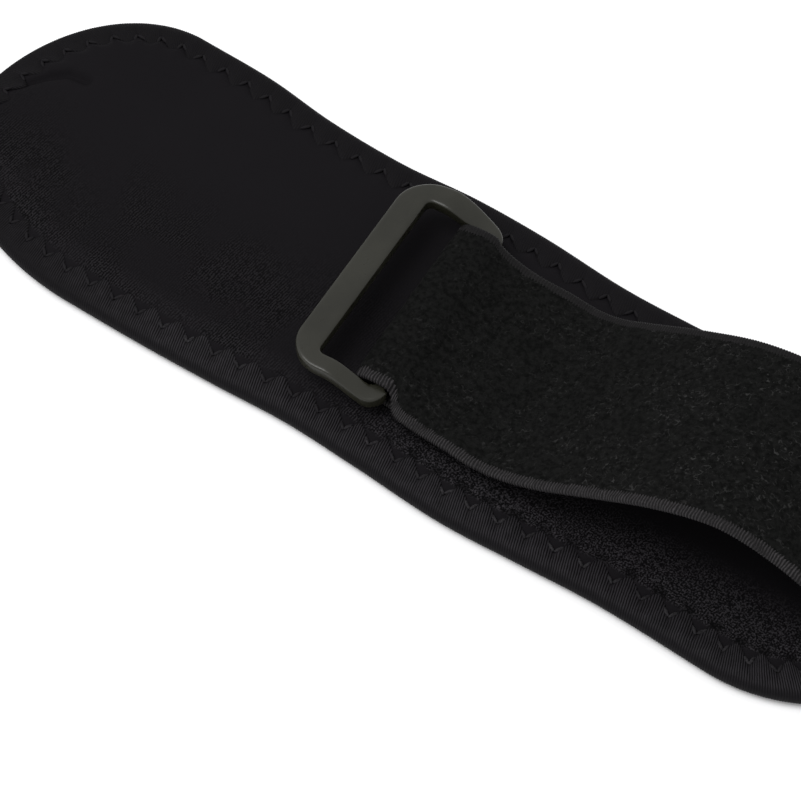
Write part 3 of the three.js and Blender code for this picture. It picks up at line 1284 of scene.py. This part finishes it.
@dataclass
class BindingStitches:
    """The zigzag stitch that shows as two short arms in each notch of the tape, on both faces."""

    bench: Workbench
    binding: EdgeBinding
    tip_inset: float = 5.0
    arms: tuple[StitchArm, ...] = (StitchArm(-1.7, 1.5), StitchArm(1.8, 2.3))
    thread_radius: float = 0.45
    unevenness: float = 0.5
    uneven_steps: tuple[float, float] = (3.7, 5.3)
    top_z: float = 4.65
    under_z: float = 0.47

    def build(self, thread: bpy.types.Material) -> bpy.types.Object:
        """Makes the threads.

        Args:
            thread: The thread's material.

        Returns:
            The threads, as one piece.
        """
        mesh = bmesh.new()
        for index in range(self.binding.lobes):
            for arm in self.arms:
                self._arm(mesh, self.binding.notch(index), arm, self.top_z)
                self._arm(mesh, self.binding.notch(index), arm, self.under_z)
        return self.bench.piece("zigzag_thread", mesh, thread, Slot.TAPE)

    def _arm(self, mesh: bmesh.types.BMesh, arc: float, arm: StitchArm, z: float) -> None:
        """Adds one arm of a stitch, which sinks into the cloth at both ends.

        Args:
            mesh: The mesh that gets it.
            arc: Where its notch is along the outline.
            arm: Which arm it is.
            z: The height of its middle.
        """
        notch_step, arm_step = self.uneven_steps
        uneven = self.unevenness * noise.noise(Vector((arc * notch_step, arm.along * arm_step, z)))
        tip = self.binding.spot(arc, self.tip_inset + uneven)
        end = self.binding.spot(arc + arm.along * (1 + uneven), self.tip_inset + arm.inward + uneven)
        half = ((end - tip) / 2).to_3d()
        up = Vector((0.0, 0.0, self.thread_radius))
        aside = half.normalized().cross(up)
        centre = ((tip + end) / 2).to_3d() + Vector((0.0, 0.0, z))
        self.bench.bead(mesh, centre, (aside, up, half))


class RunPoint(NamedTuple):
    """A point of the strap's upper layer.

    It has a centre, the roll and yaw of its crosswise line, a width, and how far its near edge droops.
    """

    x: float
    y: float
    z: float
    roll: float
    yaw: float
    width: float = STRAP_WIDTH
    droop: float = 0.0


class Station(NamedTuple):
    """The strap at a place along it: its centre, crosswise and outward directions, width and near droop."""

    centre: Vector
    across: Vector
    normal: Vector
    width: float
    droop: float = 0.0

    def spot(self, place: float, lift: float) -> Vector:
        """A place across the strap, at a height over its middle surface."""
        down = Vector((0.0, 0.0, self.droop * eased(-2 * place / self.width, *DROOP_SPAN)))
        return self.centre + self.across * place + self.normal * lift - down


@dataclass
class StrapPath:
    """The strap's way: tucked under itself, folded round the ring's bar and arched over the band."""

    bar: Place = (16.0, 1.1, 9.9)
    skew: float = math.radians(5.2)
    fold_radius: float = 3.55
    fold_reach: float = 5.9
    fold_power: float = 0.62
    fold_width: float = 49.4
    fold_droop: float = 0.6
    tuck_length: float = 34.0
    tuck_drift: float = -2.6
    thickness: float = 1.9
    run: tuple[RunPoint, ...] = (
        RunPoint(16, 1.1, 13.45, 0, 5.2, 49.4, 0.6),
        RunPoint(18, 1.25, 13.3, 0, 5.2, 49.4, 0.9),
        RunPoint(19.2, 1.25, 12.95, 0, 5.2, 49.4, 2.4),
        RunPoint(20.4, 0.0, 12.4, 0, 5.2, 50.6, 3.1),
        RunPoint(22.6, -0.8, 11.25, 0, 4.6, 51.6, 2.4),
        RunPoint(26.5, -1.1, 9.75, 0, 3.4, 52.0, 1.0),
        RunPoint(31, -1.2, 8.95, 0, 2, 52.2, 0.2),
        RunPoint(38, -1.1, 8.65, 0, 0),
        RunPoint(46, -1.55, 8.85, 0, 0),
        RunPoint(53, -1.7, 10.6, 0, 1),
        RunPoint(61, -1.4, 14.2, 0, 3),
        RunPoint(75, -0.1, 21.1, -1.6, 5),
        RunPoint(89, 1.0, 27.3, -3.4, 5),
        RunPoint(103, 2.4, 29.5, -5.9, 5),
        RunPoint(116, 3.4, 27.4, -5.0, 4),
        RunPoint(128, 4.2, 22.6, -3.2, 3),
        RunPoint(141, 4.6, 15.8, -1, 1),
        RunPoint(155, 4.6, 9.4, 0, 0),
        RunPoint(170, 4.6, 4.4, 0, 0),
        RunPoint(184, 4.6, 1.7, 0, 0),
        RunPoint(196, 4.6, 1.0, 0, 0),
        RunPoint(203, 4.6, 1.0, 0, 0, 51.5),
        RunPoint(207, 4.6, 1.0, 0, 0, 46.0),
        RunPoint(208.5, 4.6, 1.0, 0, 0, 37.0),
    )
    samples: int = 800
    length: float = field(init=False)

    def __post_init__(self) -> None:
        """Measures the three stretches."""
        self._curve = Spline(self.run)
        places = [Vector(self._curve.at(step / self.samples)[:3]) for step in range(self.samples + 1)]
        self._arcs = arcs_along(places)
        self._xs = [place.x for place in places]
        self._tucked = math.hypot(self.tuck_length, self.tuck_drift)
        turns = [math.pi * step / self.samples for step in range(self.samples + 1)]
        self._turns = arcs_along([self._fold_centre(turn) for turn in turns])
        self._folded = self._turns[-1]
        self.length = self._tucked + self._folded + self._arcs[-1]

    def reach(self, x: float) -> float:
        """How far along the strap its upper layer gets to an x."""
        return self._tucked + self._folded + self._arcs[bisect.bisect_left(self._xs, x)]

    def station(self, along: float) -> Station:
        """The strap at a distance along it, from the tucked end to the free end.

        Args:
            along: The distance.

        Returns:
            The strap there.
        """
        if along < self._tucked:
            return self._tuck(1 - along / self._tucked)
        if along < self._tucked + self._folded:
            index = bisect.bisect_left(self._turns, along - self._tucked)
            return self._fold(math.pi * index / self.samples)
        return self._upper(along - self._tucked - self._folded)

    def _framed(
        self,
        centre: Vector,
        ahead: Vector,
        yaw: float,
        width: float,
        roll: float = 0.0,
        droop: float = 0.0,
    ) -> Station:
        """The station of a centre and a heading, with its crosswise line at a yaw and a roll.

        Args:
            centre: The strap's middle.
            ahead: The way that the strap runs.
            yaw: The crosswise line's turn in plan, in radians.
            width: The strap's width.
            roll: The crosswise line's tilt, in radians.
            droop: How far the near edge droops.

        Returns:
            The station.
        """
        level = math.cos(roll)
        across = Vector((-math.sin(yaw) * level, math.cos(yaw) * level, math.sin(roll)))
        return Station(centre, across, ahead.cross(across).normalized(), width, droop)

    def _tuck(self, share: float) -> Station:
        """The lower layer, from the fold at 0 to its end at 1.

        Args:
            share: How far along it.

        Returns:
            The strap there.
        """
        x, y, z = self.bar
        centre = Vector((x + share * self.tuck_length, y + share * self.tuck_drift, z - self.fold_radius))
        return self._framed(centre, Vector((-1, 0, 0)), self.skew * (1 - share), self.fold_width)

    def _fold_centre(self, turn: float) -> Vector:
        """The middle of the fold, at an angle round the ring's bar from the lower layer.

        Args:
            turn: The angle in radians.

        Returns:
            The middle.
        """
        level = Vector((math.cos(self.skew), math.sin(self.skew), 0))
        out = level * (self.fold_reach * boxed(math.sin(turn), self.fold_power))
        up = Vector((0, 0, self.fold_radius * boxed(math.cos(turn), self.fold_power)))
        return Vector(self.bar) - out - up

    def _fold(self, turn: float) -> Station:
        """The fold, at an angle round the ring's bar from the lower layer.

        Args:
            turn: The angle in radians.

        Returns:
            The strap there.
        """
        step = math.pi / self.samples
        ahead = self._fold_centre(turn + step) - self._fold_centre(turn - step)
        droop = self.fold_droop * (1 - math.cos(turn)) / 2
        return self._framed(self._fold_centre(turn), ahead, self.skew, self.fold_width, 0.0, droop)

    def _upper(self, arc: float) -> Station:
        """The upper layer, at a distance from the fold.

        Args:
            arc: The distance.

        Returns:
            The strap there.
        """
        index = min(max(bisect.bisect_right(self._arcs, arc) - 1, 0), self.samples - 1)
        share = (arc - self._arcs[index]) / (self._arcs[index + 1] - self._arcs[index])
        place = (index + share) / self.samples
        row = RunPoint(*self._curve.at(place))
        step = 0.5 / self.samples
        ahead = Vector(self._curve.at(place + step)[:3]) - Vector(self._curve.at(place - step)[:3])
        centre = Vector((row.x, row.y, row.z))
        yaw, roll = math.radians(row.yaw), math.radians(row.roll)
        return self._framed(centre, ahead, yaw, row.width, roll, row.droop)


@dataclass
class Strap:
    """The loop-pile strap with a ribbed selvedge along each edge."""

    bench: Workbench
    path: StrapPath
    step: float = 1.0
    outer_parts: int = 50
    inner_parts: int = 24
    edge_power: float = 14.0
    core_margin: float = 0.8
    pile_sizes: tuple[float, float] = (1.2, 3.1)
    pile_heights: tuple[float, float] = (0.16, 0.14)
    selvedge_width: float = 2.9
    selvedge_thickness: float = 1.5
    selvedge_power: float = 0.6
    selvedge_sides: int = 14
    rib_pitch: float = 0.7
    rib_height: float = 0.1
    fray: float = 0.8
    fray_steps: tuple[float, float] = (1.37, 7.7)
    steps_per_rib: int = 4

    @property
    def ribs(self) -> int:
        """How many ribs each selvedge has."""
        return round(self.path.length / self.rib_pitch)

    def build(self, pile: bpy.types.Material, yarn: bpy.types.Material) -> bpy.types.Object:
        """Makes the strap and its selvedges.

        Args:
            pile: The loop pile's material.
            yarn: The selvedges' material.

        Returns:
            The strap.
        """
        strap = self.bench.piece("pile_strap", self._core(), pile, Slot.PILE)
        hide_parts("strap")
        edges = [
            self.bench.piece(f"selvedge_{edge.name.lower()}", self._selvedge(edge), yarn, Slot.TAPE)
            for edge in Edge
        ]
        return strap

    def _core(self) -> bmesh.types.BMesh:
        """The strap between its selvedges, with its pile on the outer face.

        Returns:
            The mesh.
        """
        count = round(self.path.length / self.step)
        places = [self.path.length * index / count for index in range(count + 1)]
        stations = [self.path.station(place) for place in places]
        around = self.outer_parts + self.inner_parts

        def put(column: int, row: int) -> Vector:
            """The place of a point on the strap's skin.

            Args:
                column: Its step along the strap.
                row: Its step round it.

            Returns:
                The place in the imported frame.
            """
            station = stations[column]
            row %= around
            outer = row <= self.outer_parts
            part = row / self.outer_parts if outer else (around - row) / self.inner_parts
            share = 2 * part - 1
            half = station.width / 2 - self.core_margin
            body = (1 - abs(share) ** self.edge_power) ** 0.5
            lift = self.path.thickness / 2
            if outer:
                lift += self._pile(places[column], share * half)
            return self.bench.point(*station.spot(share * half, lift * body * (1 if outer else -1)))

        mesh = laid_grid(count, around, put)
        close_seams(mesh)
        return mesh

    def _pile(self, along: float, across: float) -> float:
        """How far the pile stands out at a place on the strap.

        Args:
            along: The place along the strap.
            across: The place across it.

        Returns:
            How far.
        """
        spot = Vector((along, across, 0.0))
        layers = zip(self.pile_sizes, self.pile_heights)
        return sum(noise.noise(spot / size) * height for size, height in layers)

    def _selvedge(self, edge: Edge) -> bmesh.types.BMesh:
        """The ribbed yarn along one edge of the strap.

        Args:
            edge: Which edge.

        Returns:
            The mesh.
        """
        count = self.ribs * self.steps_per_rib
        stations = [self.path.station(self.path.length * index / count) for index in range(count + 1)]
        half_width = self.selvedge_width / 2
        yarn_step, edge_step = self.fray_steps

        def put(column: int, row: int) -> Vector:
            """The place of a point on the selvedge.

            Args:
                column: Its step along the strap.
                row: Its step round the edge.

            Returns:
                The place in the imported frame.
            """
            station = stations[column]
            row %= self.selvedge_sides
            angle = 2 * math.pi * row / self.selvedge_sides
            rib = self.rib_height * math.sin(2 * math.pi * column / self.steps_per_rib)
            outward = boxed(math.cos(angle), self.selvedge_power)
            lift = boxed(math.sin(angle), self.selvedge_power) * (self.selvedge_thickness / 2 + rib)
            yarn = column // self.steps_per_rib
            loose = noise.noise(Vector((yarn * yarn_step, edge.value * edge_step, 0.0)))
            fray = self.fray * loose * min(outward, 0.0)
            place = station.width / 2 - half_width + outward * (half_width + rib / 2) + fray
            return self.bench.point(*station.spot(edge.value * place, lift))

        mesh = laid_grid(count, self.selvedge_sides, put)
        close_seams(mesh)
        return mesh


class RingStation(NamedTuple):
    """A cut through the ring: its outer and slot ends in plan, and how round its section is."""

    outer: Vector
    inner: Vector
    roundness: float


class BarCut(NamedTuple):
    """A cut through the ring's round bar: its distance from the slot's end, half width and roundness."""

    from_end: float
    half_width: float
    roundness: float


class RingCorner(NamedTuple):
    """A corner of the ring: the side it is on, its radii, where they are centred and where it starts.

    The outer round has a radius along the arms and one across them.
    """

    side: int
    outer_radii: tuple[float, float]
    inner_radius: float
    outer_x: float
    inner_x: float
    degrees: float


@dataclass
class RingBuckle:
    """The moulded ring: a flat bare bar and two cranked arms, and a round bar inside the strap's fold."""

    bench: Workbench
    bar: Place
    skew: float
    slot_width: float = 50.0
    slot_length: float = 13.4
    near_arm_width: float = 4.4
    far_arm_width: float = 5.2
    bare_bar_width: float = 6.9
    thickness: float = 3.2
    bar_diameter: float = 4.4
    near_overhang: float = 2.25
    far_overhang: float = 4.0
    crank: float = 3.9
    crank_length: float = 12.0
    bare_radii: tuple[float, float] = (8.5, 1.6)
    near_tip_radii: tuple[float, float] = (4.5, 4.5)
    far_tip_radii: tuple[float, float] = (9.5, 5.4)
    tip_inner_radius: float = 0.2
    bar_cuts: tuple[BarCut, ...] = (BarCut(0.4, 1.5, 0.0), BarCut(4.0, 2.2, 1.0))
    far_bulge: float = 0.8
    corner_steps: int = 14
    step: float = 1.2
    sides: int = 32
    flat_power: float = 0.32

    def build(self, finish: bpy.types.Material) -> bpy.types.Object:
        """Carries the section round the ring.

        Args:
            finish: The plastic's material.

        Returns:
            The ring.
        """
        stations = self._stations()

        def put(column: int, row: int) -> Vector:
            """The place of a point on the ring.

            Args:
                column: Its cut through the ring.
                row: Its step round the cut.

            Returns:
                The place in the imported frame.
            """
            station = stations[column % len(stations)]
            angle = 2 * math.pi * (row % self.sides) / self.sides
            power = self.flat_power + (1 - self.flat_power) * station.roundness
            thick = self.thickness + (self.bar_diameter - self.thickness) * station.roundness
            middle = (station.outer + station.inner) / 2
            spot = middle + (station.inner - station.outer) / 2 * boxed(math.cos(angle), power)
            z = thick / 2 * boxed(math.sin(angle), power)
            z += (1 - station.roundness) * self.crank * eased(-spot.x, 0.0, self.crank_length)
            x, y, bar_z = self.bar
            spot.rotate(Matrix.Rotation(self.skew, 2))
            return self.bench.point(x + spot.x, y + spot.y, bar_z + z)

        mesh = laid_grid(len(stations), self.sides, put)
        close_seams(mesh)
        ring = self.bench.piece("ring", mesh, finish, Slot.PLASTIC, Body.RING)
        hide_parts("ring_buckle")
        return ring

    def _stations(self) -> list[RingStation]:
        """Cuts all round the ring, in its own plan: the fold's bar on y, the bare bar towards -x.

        Returns:
            The cuts, in order.
        """
        half_slot = self.slot_width / 2
        slot_right = -self.bar_diameter / 2
        slot_left = slot_right - self.slot_length
        bare_outer, bare_inner = self.bare_radii
        bare = ((bare_outer, bare_outer), bare_inner)
        bare_xs = (slot_left - self.bare_bar_width + bare_outer, slot_left + bare_inner)
        tip_inner = self.tip_inner_radius
        tip_inner_x = slot_right - tip_inner
        far_x = self.far_overhang - self.far_tip_radii[0]
        near_x = self.near_overhang - self.near_tip_radii[0]
        turns = [
            RingCorner(1, self.far_tip_radii, tip_inner, far_x, tip_inner_x, 0.0),
            RingCorner(1, *bare, *bare_xs, 90.0),
            RingCorner(-1, *bare, *bare_xs, 180.0),
            RingCorner(-1, self.near_tip_radii, tip_inner, near_x, tip_inner_x, 270.0),
        ]
        marks = [station for turn in turns for station in self._corner(turn)]
        for side, cuts in ((-1, self.bar_cuts), (1, reversed(self.bar_cuts))):
            for bar_cut in cuts:
                y = side * (half_slot - bar_cut.from_end)
                half = bar_cut.half_width
                marks.append(RingStation(Vector((half, y)), Vector((-half, y)), bar_cut.roundness))
        stations = []
        for before, after in zip(marks, marks[1:] + marks[:1]):
            gap = max((after.outer - before.outer).length, (after.inner - before.inner).length)
            parts = max(math.ceil(gap / self.step), 1)
            for part in range(parts):
                share = part / parts
                outer = before.outer.lerp(after.outer, share)
                inner = before.inner.lerp(after.inner, share)
                roundness = before.roundness + (after.roundness - before.roundness) * share
                stations.append(RingStation(self._bulged(outer), inner, roundness))
        return stations

    def _bulged(self, outer: Vector) -> Vector:
        """An outer point, moved out where the far arm swells.

        Args:
            outer: The point, in the ring's plan.

        Returns:
            The point, moved.
        """
        middle = -(self.slot_length + self.bar_diameter) / 2
        swell = math.exp(-(((outer.x - middle) / (self.slot_length / 2)) ** 2))
        on_far_arm = eased(outer.y, self.slot_width / 2, self.slot_width / 2 + self.far_arm_width)
        return outer + Vector((0.0, self.far_bulge * swell * on_far_arm))

    def _corner(self, turn: RingCorner) -> list[RingStation]:
        """Cuts round one corner of the ring.

        Args:
            turn: The corner.

        Returns:
            The cuts, in order.
        """
        half_slot = self.slot_width / 2
        arm_width = self.near_arm_width if turn.side < 0 else self.far_arm_width
        along, across = turn.outer_radii
        cuts = []
        for step in range(self.corner_steps + 1):
            angle = math.radians(turn.degrees + 90.0 * step / self.corner_steps)
            ray = Vector((math.cos(angle), math.sin(angle)))
            outer_y = turn.side * (half_slot + arm_width - across)
            inner_y = turn.side * (half_slot - turn.inner_radius)
            outer = Vector((turn.outer_x + ray.x * along, outer_y + ray.y * across))
            inner = Vector((turn.inner_x, inner_y)) + ray * turn.inner_radius
            cuts.append(RingStation(outer, inner, 0.0))
        return cuts


@dataclass
class HookPatch:
    """The hook tape sewn to the top of the strap's free end."""

    bench: Workbench
    path: StrapPath
    width: float = 46.0
    thickness: float = 1.0
    gap: float = 0.3
    from_x: float = 164.0
    to_x: float = 202.0
    corner: float = 3.0
    step: float = 1.0
    parts: int = 40
    hook_pitch: float = 1.7
    hook_margin: float = 3.2
    hook_height: float = 0.9
    stem_radius: float = 0.2
    stem_flare: float = 1.4
    stem_sides: int = 5
    head_radius: float = 0.32
    head_shape: tuple[float, float, float] = (1.0, 1.4, 0.7)
    stitch_margin: float = 1.5
    stitch_pitch: float = 2.8
    stitch_length: float = 2.0
    stitch_radius: float = 0.24

    def build(self, tape: bpy.types.Material, thread: bpy.types.Material) -> bpy.types.Object:
        """Makes the patch, its hooks and its stitches.

        Args:
            tape: The hook tape's material.
            thread: The sewing thread's material.

        Returns:
            The patch.
        """
        patch = self.bench.piece("hook_tape", self._ground(), tape, Slot.HOOKS)
        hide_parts("hook_patch")
        self.bench.piece("hooks", self._hooks(), tape, Slot.HOOKS)
        self.bench.piece("patch_stitches", self._stitches(), thread, Slot.TAPE)
        return patch

    @property
    def _span(self) -> tuple[float, float]:
        """Where the patch begins and ends along the strap."""
        return self.path.reach(self.from_x), self.path.reach(self.to_x)

    def _on_face(self, along: float, across: float, lift: float) -> tuple[Vector, Station]:
        """A place over the strap's outer face, and the strap there.

        Args:
            along: How far along the strap it is.
            across: How far across it, from its middle.
            lift: How far over the patch's underside.

        Returns:
            The place, and the strap there.
        """
        station = self.path.station(along)
        level = self.path.thickness / 2 + self.gap + lift
        return station.centre + station.across * across + station.normal * level, station

    def _half_width(self, from_end: float) -> float:
        """Half the patch's width at a distance from its nearer end."""
        cut = min(max(self.corner - from_end, 0.0), self.corner)
        return self.width / 2 - self.corner + math.sqrt(self.corner * self.corner - cut * cut)

    def _ground(self) -> bmesh.types.BMesh:
        """The patch's woven ground, with rounded corners.

        Returns:
            The mesh.
        """
        start, end = self._span
        count = round((end - start) / self.step)

        def put(column: int, row: int) -> Vector:
            """The place of a point on the flat ground.

            Args:
                column: Its step along the strap.
                row: Its step across it.

            Returns:
                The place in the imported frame.
            """
            along = start + (end - start) * column / count
            half = self._half_width(min(along - start, end - along))
            spot, _ = self._on_face(along, half * (2 * row / self.parts - 1), 0.0)
            return self.bench.point(*spot)

        mesh = laid_grid(count, self.parts, put)
        bmesh.ops.translate(mesh, verts=thickened(mesh), vec=Vector((0.0, 0.0, self.thickness * MM)))
        return mesh

    def _hooks(self) -> bmesh.types.BMesh:
        """Rows of stems with round heads, each row set half a pitch from the last.

        Returns:
            The mesh.
        """
        start, end = self._span
        mesh = bmesh.new()
        rows = int((end - start - 2 * self.hook_margin) / self.hook_pitch)
        for row in range(rows + 1):
            along = start + self.hook_margin + row * self.hook_pitch
            half = self.width / 2 - self.hook_margin
            across = -half + (row % 2) * self.hook_pitch / 2
            while across <= half:
                self._hook(mesh, along, across)
                across += self.hook_pitch
        return mesh

    def _hook(self, mesh: bmesh.types.BMesh, along: float, across: float) -> None:
        """Adds one hook at a place on the patch.

        Args:
            mesh: The mesh that gets it.
            along: How far along the strap it is.
            across: How far across it, from its middle.
        """
        stem, station = self._on_face(along, across, self.thickness + self.hook_height / 2)
        ahead = station.across.cross(station.normal)
        turned = (station.across, ahead, station.normal)
        bmesh.ops.create_cone(
            mesh,
            segments=self.stem_sides,
            radius1=self.stem_radius * self.stem_flare,
            radius2=self.stem_radius,
            depth=self.hook_height,
            matrix=self.bench.matrix(stem, turned),
        )
        head, _ = self._on_face(along, across, self.thickness + self.hook_height)
        axes = tuple(axis * (self.head_radius * share) for axis, share in zip(turned, self.head_shape))
        bmesh.ops.create_icosphere(mesh, subdivisions=1, radius=1.0, matrix=self.bench.matrix(head, axes))

    def _stitches(self) -> bmesh.types.BMesh:
        """A row of stitches all round the patch, just in from its edge.

        Returns:
            The mesh.
        """
        start, end = (self._span[0] + self.stitch_margin, self._span[1] - self.stitch_margin)
        half = self.width / 2 - self.stitch_margin
        mesh = bmesh.new()
        for index in range(round((end - start) / self.stitch_pitch)):
            along = start + (index + 0.5) * self.stitch_pitch
            for edge in Edge:
                self._stitch(mesh, along, edge.value * half, True)
        for index in range(round(2 * half / self.stitch_pitch)):
            across = -half + (index + 0.5) * self.stitch_pitch
            for along in (start, end):
                self._stitch(mesh, along, across, False)
        return mesh

    def _stitch(self, mesh: bmesh.types.BMesh, along: float, across: float, lengthwise: bool) -> None:
        """Adds one stitch at a place on the patch, along the strap or across it.

        Args:
            mesh: The mesh that gets it.
            along: How far along the strap it is.
            across: How far across it, from its middle.
            lengthwise: Whether it runs along the strap.
        """
        centre, station = self._on_face(along, across, self.thickness)
        ahead = station.across.cross(station.normal)
        run, aside = (ahead, station.across) if lengthwise else (station.across, ahead)
        axes = (
            aside * self.stitch_radius,
            station.normal * self.stitch_radius,
            run * (self.stitch_length / 2),
        )
        self.bench.bead(mesh, centre, axes)


class SoftBox(NamedTuple):
    """A softbox: its place, its aim and its size in metres, and its power in watts."""

    name: str
    place: Place
    aim: Place
    size: float
    power: float


@dataclass
class Studio:
    """A white floor, soft light and the camera at the photograph's angle."""

    bench: Workbench
    floor_size: float = 6.0
    sky: float = 0.85
    lights: tuple[SoftBox, ...] = (
        SoftBox("key_softbox", (-0.4, -0.3, 1.05), (0.0, 0.0, 0.0), 0.65, 8.0),
    )
    image_pixels: float = 801.0
    focal_pixels: float = 3000.0
    sensor: float = 36.0
    azimuth: float = math.radians(35.288)
    elevation: float = math.radians(55.0)
    target: Place = (19.618, -16.981, 0.0)
    distance: float = 683.637
    clip_end: float = 100.0

    def build(self, paper: bpy.types.Material) -> None:
        """Makes the floor, the lights and the camera.

        Args:
            paper: The floor's material.
        """
        bpy.context.scene.view_settings.view_transform = "Standard"
        self._floor(paper)
        self._sky()
        for light in self.lights:
            self._softbox(light)
        self._camera()

    def _floor(self, paper: bpy.types.Material) -> None:
        """Lays the floor.

        Args:
            paper: Its material.
        """
        mesh = bmesh.new()
        bmesh.ops.create_grid(mesh, x_segments=2, y_segments=2, size=self.floor_size / 2)
        floor = finished("floor", mesh, paper)

    def _sky(self) -> None:
        """Lights the scene evenly from all round."""
        world = bpy.data.worlds.new("studio")
        world.use_nodes = True
        background = world.node_tree.nodes["Background"]
        background.inputs["Color"].default_value = (1.0, 1.0, 1.0, 1.0)
        background.inputs["Strength"].default_value = self.sky
        bpy.context.scene.world = world

    def _softbox(self, light: SoftBox) -> None:
        """Hangs one softbox.

        Args:
            light: The softbox.
        """
        data = bpy.data.lights.new(light.name, "AREA")
        data.energy = light.power
        data.size = light.size
        made = in_scene(light.name, data)
        made.location = light.place
        aim = Vector(light.aim) - Vector(light.place)
        made.rotation_euler = aim.to_track_quat("-Z", "Y").to_euler()

    def _camera(self) -> None:
        """Sets up the camera."""
        data = bpy.data.cameras.new("camera")
        data.sensor_width = self.sensor
        data.lens = self.focal_pixels / self.image_pixels * self.sensor
        data.clip_end = self.clip_end
        level = math.cos(self.elevation)
        aside, ahead = math.sin(self.azimuth) * level, math.cos(self.azimuth) * level
        back = Vector((aside, -ahead, math.sin(self.elevation)))
        camera = in_scene("camera", data)
        camera.location = self.bench.point(*(Vector(self.target) + back * self.distance))
        camera.rotation_euler = (-back).to_track_quat("-Z", "Y").to_euler()
        bpy.context.scene.camera = camera


def main() -> None:
    """Builds the brace and its studio."""
    logging.basicConfig(level=logging.INFO, format="%(name)s: %(message)s")
    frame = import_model()
    path = StrapPath()
    hinge = next(joint for joint in frame["joints"] if joint["name"] == "ring_flip")
    bench = Workbench(Vector(hinge["pos_m"]) - Vector(path.bar) * MM)
    jersey, thread = JerseyFinish().make(), ThreadFinish().make()
    Studio(bench).build(FloorFinish().make())
    outline = BandOutline()
    binding = EdgeBinding(bench, outline)
    LOG.info("outline %.1f mm, scallop pitch %.2f mm", outline.length, binding.pitch)
    LOG.info("strap %.1f mm", path.length)
    BandPanel(bench, outline, binding).build(jersey)
    tape = binding.build(TapeFinish(ribs=binding.ribs, lobes=binding.lobes).make())
    BindingStitches(bench, binding).build(thread)
    strap = Strap(bench, path)
    strap.build(PileFinish().make(), SelvedgeFinish(ribs=strap.ribs).make())
    RingBuckle(bench, path.bar, path.skew).build(PlasticFinish().make())
    HookPatch(bench, path).build(HookFinish().make(), thread)


if __name__ == "__main__":
    main()
